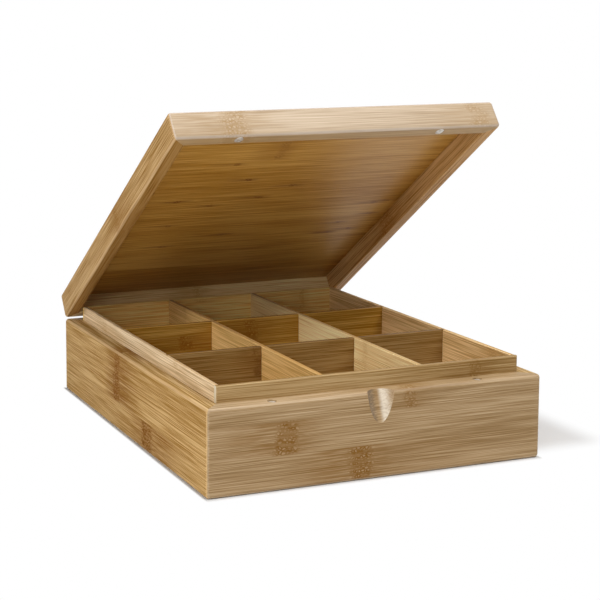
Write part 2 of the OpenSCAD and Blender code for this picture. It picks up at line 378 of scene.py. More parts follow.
class BambooGrain:
    """Node group of laminated bamboo: strips, fibres, glue seams and slow changes of tone.

    The vector that goes in has X along the fibres, Y across the strips and Z through the board.
    """

    NAME = "bamboo_grain"
    # Fibres from coarse to hair: waves per metre along, across and through the board, finer octaves,
    # and share of the tone
    FIBRES = (
        ((2.0, 190.0, 110.0), 2.0, 0.07),
        ((5.0, 620.0, 380.0), 2.0, 0.1),
        ((11.0, 1300.0, 850.0), 1.0, 0.33),
        ((26.0, 2600.0, 1700.0), 0.0, 0.5),
    )
    MIDDLE_FIBRE = 1
    FIBRE_CONTRAST = 5.4
    OCTAVE_STRENGTH = 0.55
    CLOUD_WAVES = (6.0, 42.0, 30.0)
    PORE_WAVES = (70.0, 1900.0, 1400.0)
    PORE_SPAN = (0.6, 0.75)
    PORE_TONE = -0.25
    # Heights that the middle fibre and the pores give
    FIBRE_HEIGHT = 0.6
    PORE_HEIGHT = -0.8
    SEAM_WIDTH = 0.0004
    # What sets one strip's random numbers apart from the next one's, and its place in the noise
    STRIP_STEP = 7.31
    SECOND_STEP = 3.7
    NOISE_STEPS = (37.0, 23.0, 1.7)

    @classmethod
    def build(cls) -> None:
        """Builds the group."""
        desk, given, out = start_group(
            cls.NAME,
            {
                "Vector": None,
                "Strip Width": 0.02,
                "Strip Offset": 0.0,
                "Seed": 0.0,
                "Pale": (0.6, 0.4, 0.2),
                "Middle": (0.5, 0.3, 0.15),
                "Deep": (0.3, 0.15, 0.05),
                "Streak": 1.0,
                "Mottle": 1.0,
                "Strip Contrast": 0.5,
                "Seam": 0.4,
            },
            {"Color": COLOUR, "Tone": NUMBER, "Height": NUMBER},
        )
        vector = given["Vector"]
        place = desk.math("SUBTRACT", desk.split(vector)[1], given["Strip Offset"])
        place = desk.math("DIVIDE", place, given["Strip Width"])
        strip = desk.math("FLOOR", place)
        within = desk.math("SUBTRACT", place, strip)
        strip_seed = desk.math("ADD", desk.times(strip, cls.STRIP_STEP), given["Seed"])
        chance = desk.random(strip_seed)
        other_chance = desk.random(desk.math("ADD", strip_seed, cls.SECOND_STEP))

        # Each strip is cut from another cane, so its fibres start elsewhere in the noise
        shift = desk.add("ShaderNodeCombineXYZ")
        for socket, value, step in zip(shift.inputs, (chance, other_chance, strip_seed), cls.NOISE_STEPS):
            desk.join(desk.times(value, step), socket)
        start = shift.outputs[0]
        waves = []
        fibre = 0.0
        for scale, octaves, share in cls.FIBRES:
            wave = desk.noise(desk.scaled(vector, scale, start), 1.0, octaves, cls.OCTAVE_STRENGTH)
            fibre = desk.math("MULTIPLY_ADD", wave, share, fibre)
            waves.append(wave)
        cloud = desk.noise(desk.scaled(vector, cls.CLOUD_WAVES, start), 1.0, 2.0, cls.OCTAVE_STRENGTH)

        # Short dark dashes where vessels of the fibre bundles are cut open
        pore = desk.noise(desk.scaled(vector, cls.PORE_WAVES, start), 1.0, 0.0)
        pore = desk.remap(pore, *cls.PORE_SPAN)

        fibre = desk.math("SUBTRACT", fibre, 0.5)
        fibre = desk.times(fibre, given["Streak"], cls.FIBRE_CONTRAST)
        strip_tone = desk.times(desk.math("SUBTRACT", chance, 0.5), given["Strip Contrast"])
        slow = desk.times(desk.math("SUBTRACT", cloud, 0.5), given["Mottle"])
        tone = desk.math("ADD", desk.math("ADD", fibre, strip_tone), desk.math("ADD", slow, 0.5))
        tone = desk.math("ADD", tone, desk.times(pore, given["Streak"], cls.PORE_TONE))

        # Glue seam between two strips: a thin line at both ends of the strip's width
        nearest = desk.math("MINIMUM", within, desk.math("SUBTRACT", 1.0, within))
        edge = desk.times(nearest, given["Strip Width"])
        seam = desk.times(desk.remap(edge, 0.0, cls.SEAM_WIDTH, 1.0, 0.0), given["Seam"])

        shade = desk.blend(desk.remap(tone, 0.0, 0.5, how="LINEAR"), given["Deep"], given["Middle"])
        shade = desk.blend(desk.remap(tone, 0.5, 1.0, how="LINEAR"), shade, given["Pale"])
        shade = desk.blend(seam, shade, given["Deep"])
        fibre_height = desk.times(waves[cls.MIDDLE_FIBRE], cls.FIBRE_HEIGHT)
        height = desk.math("ADD", fibre_height, desk.times(pore, cls.PORE_HEIGHT))
        height = desk.math("SUBTRACT", height, seam)
        desk.fill(out, {"Color": shade, "Tone": tone, "Height": height})


class CaneKnuckle:
    """Node group of one knuckle, the ring of the cane where its fibres swerve.

    It is a dark, scaly patch in a brown halo, which reaches further on the side of lower numbers
    along the board. On the other side the strip can stay darker for a while.
    """

    NAME = "cane_knuckle"
    # Waves per metre along, across and through the board
    SWAY_WAVES = (40.0, 120.0, 60.0)
    CELL_WAVES = (430.0, 560.0, 200.0)
    RAGGED_WAVES = (110.0, 520.0, 160.0)
    FRAY_WAVES = (35.0, 800.0, 200.0)
    # How far the patch sways along the board, and how softly it ends at the strip's seams
    SWAY = 0.01
    EDGE = 0.0006
    # Where the core, the halo and the trail fade, in half lengths
    CORE = (0.3, 1.25)
    HALO = (0.6, 3.2)
    TRAIL = 10.0
    # Share by which the halo's distances shrink on its longer side
    SHRINK = -0.45
    CELL_SHARE = 0.28
    RELIEF = 1.6

    @classmethod
    def build(cls) -> None:
        """Builds the group."""
        desk, given, out = start_group(
            cls.NAME,
            {
                "Vector": None,
                "Color": (0.5, 0.3, 0.15),
                "Height": 0.0,
                "Mark": (0.25, 0.12, 0.04),
                "Cell": (0.6, 0.4, 0.2),
                "Along": 0.0,
                "Low": 0.0,
                "High": 0.02,
                "Half Length": 0.006,
                "Strength": 1.0,
                "Trail": 0.0,
            },
            {"Color": COLOUR, "Height": NUMBER},
        )
        vector = given["Vector"]
        along, across, _ = desk.split(vector)
        wobble = desk.noise(desk.scaled(vector, cls.SWAY_WAVES), 1.0, 3.0)
        sway = desk.times(desk.math("SUBTRACT", wobble, 0.5), cls.SWAY)
        offset = desk.math("ADD", desk.math("SUBTRACT", along, given["Along"]), sway)
        distance = desk.math("DIVIDE", desk.math("ABSOLUTE", offset), given["Half Length"])
        core = desk.remap(distance, *cls.CORE, 1.0, 0.0)
        before = desk.math("MULTIPLY_ADD", desk.math("LESS_THAN", offset, 0.0), cls.SHRINK, 1.0)
        halo = desk.remap(desk.times(distance, before), *cls.HALO, 1.0, 0.0)

        # Past the knuckle the strip stays darker for a while
        past = desk.math("DIVIDE", offset, desk.times(given["Half Length"], cls.TRAIL))
        ahead = desk.math("GREATER_THAN", offset, 0.0)
        trail = desk.times(desk.times(desk.remap(past, 0.0, 1.0, 1.0, 0.0), ahead), given["Trail"])

        # The patch ends at the strip's seams
        above = desk.remap(desk.math("SUBTRACT", across, given["Low"]), -cls.EDGE, cls.EDGE)
        below = desk.remap(desk.math("SUBTRACT", given["High"], across), -cls.EDGE, cls.EDGE)
        inside = desk.times(above, below)

        # Scales: small pale cells with dark borders, ragged where the patch runs out
        cells = desk.add("ShaderNodeTexVoronoi", feature="DISTANCE_TO_EDGE")
        desk.fill(cells, {"Vector": desk.scaled(vector, cls.CELL_WAVES), "Scale": 1.0})
        border = desk.remap(cells.outputs["Distance"], 0.02, 0.3, 1.0, 0.0)
        ragged = desk.remap(desk.noise(desk.scaled(vector, cls.RAGGED_WAVES), 1.0, 3.0), 0.36, 0.64)
        fray = desk.remap(desk.noise(desk.scaled(vector, cls.FRAY_WAVES), 1.0, 2.0), 0.4, 0.62)

        dark = desk.times(border, desk.math("MULTIPLY_ADD", ragged, 0.7, 0.3))
        dark = desk.times(core, desk.math("MULTIPLY_ADD", dark, 0.6, 0.4))
        veil = desk.times(halo, desk.math("MULTIPLY_ADD", fray, 0.42, 0.18))
        amount = desk.math("MAXIMUM", desk.math("MAXIMUM", dark, veil), trail)
        shade = desk.blend(desk.times(amount, inside, given["Strength"]), given["Color"], given["Mark"])
        centre = desk.times(desk.remap(cells.outputs["Distance"], 0.1, 0.38), ragged)
        centre = desk.times(desk.times(centre, core), desk.times(inside, cls.CELL_SHARE))
        shade = desk.blend(desk.times(centre, given["Strength"]), shade, given["Cell"])
        bump = desk.times(desk.times(core, inside), desk.math("SUBTRACT", 0.4, border))
        height = desk.math("MULTIPLY_ADD", bump, desk.times(given["Strength"], cls.RELIEF), given["Height"])
        desk.fill(out, {"Color": shade, "Height": height})


class BoardFaces:
    """Node group that tells a board's faces apart by the way they face.

    The normal that goes in is the board's own. Rounded edges face between two of its axes, the rim
    faces across the strips, and the top faces along the third axis, through the board. End grain faces
    along the fibres. Near the middle of the board, where the front wall's finger notch is, faces that
    turn along the fibres get masks for a painted highlight on one side and painted shade on the other.
    """

    NAME = "board_faces"
    # Waves per metre along, across and through the board
    RUB_WAVES = (90.0, 300.0, 300.0)
    TORN_WAVES = (160.0, 900.0, 900.0)

    @classmethod
    def build(cls) -> None:
        """Builds the group."""
        masks = ("Edge", "Rim", "Top", "Cut Pale", "Cut Deep", "End")
        desk, given, out = start_group(
            cls.NAME, {"Normal": None, "Vector": None, "Cut Reach": 0.03}, {mask: NUMBER for mask in masks}
        )
        size = desk.add("ShaderNodeVectorMath", operation="ABSOLUTE")
        desk.join(given["Normal"], size.inputs[0])
        parts = desk.split(size.outputs[0])
        largest = desk.math("MAXIMUM", desk.math("MAXIMUM", parts[0], parts[1]), parts[2])
        blotch = desk.noise(desk.scaled(given["Vector"], cls.RUB_WAVES), 1.0, 3.0)
        # Rounded edges, in patches: partly real wear, partly a painted highlight
        worn = desk.times(desk.remap(largest, 0.985, 0.86), desk.math("MULTIPLY_ADD", blotch, 0.8, 0.35))
        # Faces across the strips, in patches: the mask for the painted light and shade of the rim's tint
        rim = desk.times(desk.remap(parts[1], 0.8, 0.97), desk.math("MULTIPLY_ADD", blotch, 0.5, 0.5))

        # Painted highlight and painted shade on faces that turn along the fibres near the middle of the
        # board, where the finger notch is; patchy at their edges
        along, _, through = desk.split(given["Normal"])
        spot = desk.math("ABSOLUTE", desk.split(given["Vector"])[0])
        notch_patchiness = desk.noise(desk.scaled(given["Vector"], cls.TORN_WAVES), 1.0, 2.0)
        near = desk.math("LESS_THAN", spot, given["Cut Reach"])
        here = desk.times(near, desk.remap(notch_patchiness, 0.25, 0.6, 0.45, 1.0))
        shallow = desk.times(desk.remap(along, 0.0, -0.35), desk.remap(along, -0.85, -0.4))
        results = (
            worn,
            rim,
            desk.remap(through, 0.5, 0.9),
            desk.times(shallow, here),
            desk.times(desk.remap(along, -0.02, 0.5), here),
            desk.remap(parts[0], 0.8, 0.95),
        )
        desk.fill(out, dict(zip(masks, results)))


class BrushedMetal:
    """Node group of brushed or plated metal: fine lines along X and a slow tarnish."""

    NAME = "brushed_metal"
    LINE_WAVES = (60.0, 4000.0, 4000.0)
    TARNISH_WAVES = 420.0

    @classmethod
    def build(cls) -> None:
        """Builds the group."""
        desk, given, out = start_group(
            cls.NAME,
            {
                "Vector": None,
                "Bright": (0.8, 0.8, 0.8),
                "Dull": (0.5, 0.5, 0.5),
                "Smooth": 0.2,
                "Rough": 0.45,
            },
            {"Color": COLOUR, "Roughness": NUMBER, "Height": NUMBER},
        )
        lines = desk.noise(desk.scaled(given["Vector"], cls.LINE_WAVES), 1.0, 3.0)
        stain = desk.remap(desk.noise(given["Vector"], cls.TARNISH_WAVES, 3.0), 0.42, 0.68)
        shade = desk.blend(stain, given["Bright"], given["Dull"])
        spread = desk.math("SUBTRACT", given["Rough"], given["Smooth"])
        rough = desk.math("MULTIPLY_ADD", stain, spread, given["Smooth"])
        desk.fill(out, {"Color": shade, "Roughness": rough, "Height": lines})


# ---------------------------------------------------------------------------
# Finishes
# ---------------------------------------------------------------------------


@dataclass(frozen=True)
class BambooFinish:
    """Lacquered bamboo of one kind of board, its colours as seen on a screen."""

    tint: Tint
    streak: float = 1.0
    mottle: float = 1.0
    strip_contrast: float = 0.5
    seam: float = 0.4
    strip_width: float = 0.021
    rough_low: float = 0.34
    rough_high: float = 0.46
    coat: float = 0.04
    coat_rough: float = 0.3
    sheen: float = 0.15
    refraction: float = 1.46
    bump: float = 0.25
    bump_depth: float = 0.00012
    # How strongly the rounded edges take their colour of wear and painted highlight
    edge: float = 0.5
    # How strongly the finger notch's faces get their painted highlight and painted shade
    cut: float = 0.0
    end: float = 0.0
    mark_depth: float = 1.0
    # Painted light and shade on the faces across the strips: on the walls' tops it stands for light and sheen
    # from above; darker on the dividers' tops and the lid rails' undersides, it stands for their shade
    rim_tint: Tint | None = None
    top_tint: Tint | None = None

    def lifted(self, by: Tint) -> Colour:
        """Makes the plain fibre's colour brighter, up to nearly white.

        Args:
            by: What is added to red, green and blue.

        Returns:
            The linear colour.
        """
        return linear(*(min(part + more, most) for part, more, most in zip(self.tint, by, BRIGHTEST)))

    def dimmed(self, by: Point) -> Colour:
        """Makes the plain fibre's colour darker.

        Args:
            by: Factors of red, green and blue.

        Returns:
            The linear colour.
        """
        return linear(*(int(part * share) for part, share in zip(self.tint, by)))

    def toned(self, tint: Tint) -> Colour:
        """Finds what the colour is multiplied by to bring the plain fibre to another tint.

        Args:
            tint: The wanted colour of the plain fibre.

        Returns:
            The three factors.
        """
        return tuple(want / have for want, have in zip(linear(*tint), linear(*self.tint)))

    @property
    def pale(self) -> Colour:
        """Colour of the palest fibre."""
        return self.lifted((24, 27, 30))

    @property
    def bare(self) -> Colour:
        """Colour of end grain, and of the painted highlight on the finger notch's faces."""
        return self.lifted((56, 74, 94))

    @property
    def worn(self) -> Colour:
        """Colour of the rounded edges: partly real wear, partly a painted highlight."""
        return self.lifted((26, 33, 46))

    @property
    def deep(self) -> Colour:
        """Colour of the darkest fibre."""
        return linear(*(max(part - less, 8) for part, less in zip(self.tint, (34, 36, 38))))

    @property
    def sunk(self) -> Colour:
        """Colour of the painted shade on the finger notch's faces."""
        return self.dimmed((0.5, 0.46, 0.4))

    @property
    def mark(self) -> Colour:
        """Colour of a knuckle's dark cells."""
        return self.dimmed(tuple(share**self.mark_depth for share in (0.77, 0.65, 0.34)))


@dataclass(frozen=True)
class MetalFinish:
    """Metal of one kind of fitting."""

    bright: Colour
    dull: Colour
    smooth: float = 0.2
    rough: float = 0.45
    bump: float = 0.15
    bump_depth: float = 0.00005
    metallic: float = 1.0

    def material(self, name: str) -> bpy.types.Material:
        """Makes the metal's material.

        Args:
            name: Name of the material.

        Returns:
            The material.
        """
        material, desk, place = start_material(name)
        brushed = desk.group(
            BrushedMetal.NAME,
            {
                "Vector": place.outputs["Object"],
                "Bright": self.bright,
                "Dull": self.dull,
                "Smooth": self.smooth,
                "Rough": self.rough,
            },
        )
        values = {
            "Metallic": self.metallic,
            "Base Color": brushed.outputs["Color"],
            "Roughness": brushed.outputs["Roughness"],
        }
        desk.surface(values, brushed.outputs["Height"], self.bump, self.bump_depth)
        return material


@dataclass(frozen=True)
class Knuckle:
    """A knuckle of the cane in one strip: where along the board, and between which two heights."""

    along: float
    low: float
    high: float
    half_length: float = 0.006
    strength: float = 0.85
    trail: float = 0.0


@dataclass(frozen=True)
class BoardFrame:
    """How a board lies: its fibres, its strips, and whether it tilts with the open lid."""

    along: Axis
    across: Axis
    origin: Point = (0.0, 0.0, 0.0)
    tilt: float = 0.0

    def mapping(self) -> tuple[Vector, Vector]:
        """Finds the turn and the shift that bring object coordinates into the board's own.

        A point is taken relative to the origin and turned back by the tilt about X. Its parts
        along the fibres, across the strips and through the board are then the board's X, Y and Z.

        Returns:
            The shift, and the turn as Euler angles.
        """
        along = self.along.vector
        across = self.across.vector
        rows = Matrix((along, across, along.cross(across)))
        turn = rows @ Matrix.Rotation(self.tilt, 3, "X")
        shift = -(turn @ Vector(self.origin))
        return shift, Vector(turn.to_euler("XYZ"))


@dataclass(frozen=True)
class Board:
    """One bamboo board: its node, how it lies, and what sets it apart from its neighbours."""

    node: str
    lie: BoardFrame
    finish: BambooFinish
    seed: float
    strip_offset: float = 0.0
    knuckles: tuple[Knuckle, ...] = ()

    def dress(self) -> None:
        """Gives the board's node its bamboo material: grain, knuckles, and tones of its faces."""
        look = self.finish
        material, desk, place = start_material(f"bamboo_{self.node}")
        shift, turn = self.lie.mapping()
        mapping = desk.add("ShaderNodeMapping", vector_type="POINT")
        desk.fill(mapping, {"Location": shift, "Rotation": turn, "Vector": place.outputs["Object"]})
        vector = mapping.outputs["Vector"]
        grain = desk.group(
            BambooGrain.NAME,
            {
                "Vector": vector,
                "Strip Width": look.strip_width,
                "Strip Offset": self.strip_offset,
                "Seed": self.seed,
                "Pale": look.pale,
                "Middle": linear(*look.tint),
                "Deep": look.deep,
                "Streak": look.streak,
                "Mottle": look.mottle,
                "Strip Contrast": look.strip_contrast,
                "Seam": look.seam,
            },
        )
        colour = grain.outputs["Color"]
        height = grain.outputs["Height"]
        for knuckle in self.knuckles:
            colour, height = self.add_knuckle(desk, knuckle, vector, colour, height)

        turned = desk.add("ShaderNodeMapping", vector_type="VECTOR")
        desk.fill(turned, {"Rotation": turn, "Vector": place.outputs["Normal"]})
        faces = desk.group(BoardFaces.NAME, {"Normal": turned.outputs["Vector"], "Vector": vector}).outputs
        # The rim's tint paints light and shade on the faces across the strips
        for mask, tint in (("Rim", look.rim_tint), ("Top", look.top_tint)):
            if tint:
                toned = desk.blend(1.0, colour, look.toned(tint), "MULTIPLY")
                colour = desk.blend(faces[mask], colour, toned)
        for mask, amount, shade in (
            # Painted highlight and painted shade on the finger notch's faces
            ("Cut Pale", look.cut, look.bare),
            ("Cut Deep", look.cut, look.sunk),
            ("End", look.end, look.bare),
            # Rounded edges: partly real wear, partly a painted highlight
            ("Edge", look.edge, look.worn),
        ):
            colour = desk.blend(desk.times(faces[mask], amount), colour, shade)

        values = {
            "IOR": look.refraction,
            "Specular IOR Level": look.sheen,
            "Coat Weight": look.coat,
            "Coat Roughness": look.coat_rough,
            "Base Color": colour,
            "Roughness": desk.remap(grain.outputs["Tone"], 0.0, 1.0, look.rough_high, look.rough_low),
        }
        desk.surface(values, height, look.bump, look.bump_depth)
        put_on(self.node, material)

    def add_knuckle(
        self, desk: NodeDesk, knuckle: Knuckle, vector: object, colour: object, height: object
    ) -> tuple[object, object]:
        """Lays one knuckle over the grain.

        Args:
            desk: The material's desk.
            knuckle: The knuckle.
            vector: The board's coordinates.
            colour: Colour so far.
            height: Height so far.

        Returns:
            The sockets of the new colour and height.
        """
        patch = desk.group(
            CaneKnuckle.NAME,
            {
                "Vector": vector,
                "Color": colour,
                "Height": height,
                "Mark": self.finish.mark,
                "Cell": self.finish.pale,
                **{name.replace("_", " ").title(): value for name, value in asdict(knuckle).items()},
            },
        )
        return patch.outputs["Color"], patch.outputs["Height"]


def put_on(node: str, material: bpy.types.Material) -> None:
    """Gives every material slot of a node one material.

    Args:
        node: Name of the node.
        material: The material.
    """
    piece = frame["nodes"][node]
    if not piece.material_slots:
        piece.data.materials.append(material)
    for slot in piece.material_slots:
        slot.material = material
    LOG.info("dressed %s in %s", node, material.name)


def scattered_knuckles(
    seed: int, length: float, low: float, high: float, strip: float
) -> tuple[Knuckle, ...]:
    """Places a knuckle in each strip of a board, at a seeded random place along it.

    Args:
        seed: Seed of the random places.
        length: Length of the board.
        low: Where its strips start.
        high: Where its strips end.
        strip: Width of a strip.

    Returns:
        The knuckles.
    """
    rng = np.random.default_rng(seed)
    count = max(1, math.ceil((high - low) / strip - NARROW_STRIP))
    places = (rng.permutation(count) + rng.uniform(*KNUCKLE_SPREAD, count)) / count - 0.5
    strengths = rng.uniform(*KNUCKLE_STRENGTHS, count)
    lengths = rng.uniform(*KNUCKLE_LENGTHS, count)
    return tuple(
        Knuckle(
            along=float(places[i] * length),
            low=low + i * strip,
            high=low + (i + 1) * strip,
            half_length=float(lengths[i]),
            strength=float(strengths[i]),
        )
        for i in range(count)
    )


# ---------------------------------------------------------------------------
# Sub-assemblies
# ---------------------------------------------------------------------------


@dataclass
class BoxBody:
    """The box below the lid: walls, bottom, lining and dividers."""

    # The front wall's finger notch gets a painted highlight and painted shade
    front_wall: BambooFinish = BambooFinish(
        (173, 145, 107), streak=0.48, mottle=0.9, strip_contrast=0.35, strip_width=0.0215,
        edge=0.3, cut=0.9, mark_depth=1.2, rim_tint=(188, 163, 129),
    )
    side_wall: BambooFinish = BambooFinish(
        (188, 149, 91), streak=0.95, mottle=0.85, strip_contrast=0.35, coat=0.0, sheen=0.015,
        edge=0.8, rim_tint=(180, 150, 102), strip_width=0.0195, mark_depth=1.4,
    )
    end_liner: BambooFinish = BambooFinish((163, 131, 82), streak=0.6, strip_width=0.012, end=1.0)
    left_liner: BambooFinish = BambooFinish(
        (224, 194, 151), streak=0.8, strip_contrast=0.35, strip_width=0.012
    )
    right_liner: BambooFinish = BambooFinish((226, 190, 134), streak=0.75, strip_width=0.012)
    rear_liner: BambooFinish = BambooFinish((250, 203, 124), streak=0.9, strip_width=0.015)
    # The four dividers are one bamboo; their tints differ by painted light and shade: the long ones are pale
    # for the light from the left on their faces
    left_grid: BambooFinish = BambooFinish(
        (221, 179, 110), streak=0.65, strip_width=0.02, rim_tint=(196, 154, 96)
    )
    right_grid: BambooFinish = BambooFinish(
        (242, 209, 152), streak=0.65, strip_width=0.02, rim_tint=(206, 168, 114)
    )
    # The cross dividers' darker tints are painted shade on their front-facing faces, the front one most
    front_cross: BambooFinish = BambooFinish(
        (139, 104, 52), streak=0.6, strip_width=0.02, rim_tint=(126, 92, 44)
    )
    rear_cross: BambooFinish = BambooFinish(
        (186, 141, 62), streak=0.65, strip_width=0.02, rim_tint=(160, 116, 50)
    )
    bottom: BambooFinish = BambooFinish((184, 138, 76), strip_width=0.03)
    # Heights above the floor: the lowest fibres, the walls' rim and the lining's top
    foot: float = 0.001
    rim: float = 0.0565
    lining_top: float = 0.0675
    # Lengths over which knuckles are scattered across and along the box, and half its width
    scatter_across: float = 0.2
    scatter_along: float = 0.24
    half_width: float = 0.12

    def dress(self) -> None:
        """Dresses every board of the box."""
        self.dress_walls()
        self.dress_lining()
        self.dress_dividers()
        self.dress_base()

    def strip_of(self, finish: BambooFinish, index: int) -> tuple[float, float]:
        """Finds the lowest and the highest point of a strip of a wall.

        Args:
            finish: The wall's finish.
            index: Which strip, counted from the foot.

        Returns:
            The two heights.
        """
        low = self.foot + index * finish.strip_width
        return low, low + finish.strip_width

    def dress_walls(self) -> None:
        """Dresses the four outer walls, with the knuckles in their strips."""
        front, side = self.front_wall, self.side_wall
        front_marks = (
            Knuckle(-0.066, *self.strip_of(front, 1), 0.0105, 1.15),
            Knuckle(-0.014, *self.strip_of(front, 0), 0.011, 1.2, 0.22),
            Knuckle(0.0216, *self.strip_of(front, 2), 0.007, 0.8),
        )
        side_marks = (
            Knuckle(0.0222, *self.strip_of(side, 1), 0.0095, 1.4),
            Knuckle(0.0205, *self.strip_of(side, 2), 0.008, 1.3),
            Knuckle(-0.038, *self.strip_of(side, 0), 0.014, 1.2, 0.1),
        )
        back_marks = scattered_knuckles(11, self.scatter_across, self.foot, self.rim, front.strip_width)
        right_marks = scattered_knuckles(12, self.scatter_along, self.foot, self.rim, side.strip_width)
        for node, along, finish, seed, marks in (
            ("wall_front", Axis.X, front, 1.0, front_marks),
            ("wall_back", Axis.X, front, 2.0, back_marks),
            ("wall_left", Axis.Y, side, 3.0, side_marks),
            ("wall_right", Axis.Y, side, 4.0, right_marks),
        ):
            Board(node, BoardFrame(along, Axis.Z), finish, seed, self.foot, marks).dress()

    def dress_lining(self) -> None:
        """Dresses the lining boards that stand above the rim."""
        top = self.lining_top
        front_marks = (Knuckle(0.0756, top - 0.012, top, 0.006, 0.8),)
        back_marks = (
            Knuckle(-0.0105, top - 0.004, top, 0.008, 0.5),
            Knuckle(0.0805, top - 0.015, top, 0.003, 0.6),
        )
        left_marks = (
            Knuckle(-0.062, top - 0.005, top, 0.007, 0.6),
            Knuckle(0.0788, top - 0.009, top, 0.008, 0.6),
        )
        right_marks = (
            Knuckle(-0.104, top - 0.012, top, 0.006, 0.5),
            Knuckle(0.061, top - 0.012, top, 0.004, 0.4),
        )
        for node, along, finish, seed, marks in (
            ("liner_front", Axis.X, self.end_liner, 11.0, front_marks),
            ("liner_back", Axis.X, self.rear_liner, 12.0, back_marks),
            ("liner_left", Axis.Y, self.left_liner, 13.0, left_marks),
            ("liner_right", Axis.Y, self.right_liner, 14.0, right_marks),
        ):
            offset = top - 5 * finish.strip_width
            Board(node, BoardFrame(along, Axis.Z), finish, seed, offset, marks).dress()

    def dress_dividers(self) -> None:
        """Dresses the lapped dividers."""
        top = self.lining_top
        strip = self.left_grid.strip_width
        left_marks = (Knuckle(0.0925, top - strip, top, 0.004, 0.4),)
        right_marks = (Knuckle(-0.059, top - strip, top, 0.005, 0.35),)
        front_marks = (Knuckle(-0.041, top - strip, top, 0.004, 0.8),)
        rear_marks = (
            Knuckle(-0.0583, top - strip, top - 0.009, 0.009, 1.0),
            Knuckle(-0.006, top - strip, top - 0.001, 0.009, 1.0),
        )
        for node, along, finish, seed, marks in (
            ("divider_long_left", Axis.Y, self.left_grid, 41.0, left_marks),
            ("divider_long_right", Axis.Y, self.right_grid, 46.0, right_marks),
            ("divider_cross_front", Axis.X, self.front_cross, 51.0, front_marks),
            ("divider_cross_rear", Axis.X, self.rear_cross, 56.0, rear_marks),
        ):
            Board(node, BoardFrame(along, Axis.Z), finish, seed, top - 3 * strip, marks).dress()

    def dress_base(self) -> None:
        """Dresses the bottom panel, whose fibres run from left to right."""
        strip = self.bottom.strip_width
        marks = scattered_knuckles(61, self.scatter_across, -self.half_width, self.half_width, strip)
        Board("base_panel", BoardFrame(Axis.X, Axis.Y), self.bottom, 60.0, 0.0, marks).dress()


@dataclass
class Lid:
    """The lid: four rails and the panel, tilted about the hinge axis."""

    # The front rail's pale, greyish tint is painted sheen from the light above on the open lid's front
    front_rail: BambooFinish = BambooFinish(
        (193, 172, 146), streak=0.3, strip_contrast=0.2, strip_width=0.02, rim_tint=(193, 162, 116)
    )
    # The back rail's very pale tint is painted light on its inner face, which lies in shade under the lid
    back_rail: BambooFinish = BambooFinish((240, 206, 148), streak=0.8, strip_width=0.02)
    left_rail: BambooFinish = BambooFinish(
        (179, 141, 89), streak=1.1, mottle=1.1, sheen=0.015, coat=0.0, rim_tint=(158, 115, 56),
        strip_width=0.02,
    )
    right_rail: BambooFinish = BambooFinish((190, 145, 86), streak=1.0, strip_width=0.02)
    panel: BambooFinish = BambooFinish(
        (181, 132, 54), streak=0.6, mottle=0.8, strip_contrast=0.3, seam=0.25, strip_width=0.024,
        coat=0.2, sheen=0.45, mark_depth=1.6, top_tint=(200, 160, 106),
    )
    # From the hinge axis: the rails' underside, and where the panel's first strip starts
    rail_low: float = 0.0005
    panel_front: float = -0.266
    # Length over which knuckles are scattered, and how many of the panel's strips have one
    scatter_across: float = 0.2
    knotted_strips: int = 2
    # Small dark flecks in the panel: their number and size, the spans that they lie in, measured from
    # the hinge axis, and how strong they are
    fleck_count: int = 15
    fleck_half: float = 0.0017
    fleck_length: float = 0.0042
    fleck_across: tuple[float, float] = (-0.09, 0.1)
    fleck_depth: tuple[float, float] = (-0.24, -0.05)
    fleck_strength: tuple[float, float] = (1.0, 1.6)
    fleck_seed: int = 82

    def dress(self, axis: Point, tilt: float) -> None:
        """Dresses every board of the lid.

        Args:
            axis: A point on the hinge axis.
            tilt: How far the lid stands open, in radians.
        """
        low = self.rail_low
        high = low + self.front_rail.strip_width
        front_marks = (Knuckle(-0.0765, low, high, 0.014, 0.75), Knuckle(0.105, low, high, 0.011, 0.6))
        for node, along, finish, seed, marks in (
            ("lid_rail_front", Axis.X, self.front_rail, 71.0, front_marks),
            ("lid_rail_back", Axis.X, self.back_rail, 72.0, (Knuckle(-0.0075, low, high, 0.006, 0.7),)),
            ("lid_rail_left", Axis.Y, self.left_rail, 73.0, (Knuckle(-0.152, low, high, 0.007, 0.8),)),
            ("lid_rail_right", Axis.Y, self.right_rail, 74.0, (Knuckle(-0.12, low, high, 0.016, 1.0),)),
        ):
            Board(node, BoardFrame(along, Axis.Z, axis, tilt), finish, seed, low, marks).dress()
        strip = self.panel.strip_width
        first = self.panel_front
        knots = scattered_knuckles(81, self.scatter_across, first, first + self.knotted_strips * strip, strip)
        lie = BoardFrame(Axis.X, Axis.Y, axis, tilt)
        Board("lid_panel", lie, self.panel, 80.0, first, self.scattered_flecks() + knots).dress()

    def scattered_flecks(self) -> tuple[Knuckle, ...]:
        """Places the panel's small dark flecks at seeded random places.

        Returns:
            The flecks.
        """
        rng = np.random.default_rng(self.fleck_seed)
        places = rng.uniform(*self.fleck_across, self.fleck_count)
        depths = rng.uniform(*self.fleck_depth, self.fleck_count)
        strengths = rng.uniform(*self.fleck_strength, self.fleck_count)
        half = self.fleck_half
        return tuple(
            Knuckle(along, middle - half, middle + half, self.fleck_length, strength)
            for along, middle, strength in zip(places.tolist(), depths.tolist(), strengths.tolist())
        )


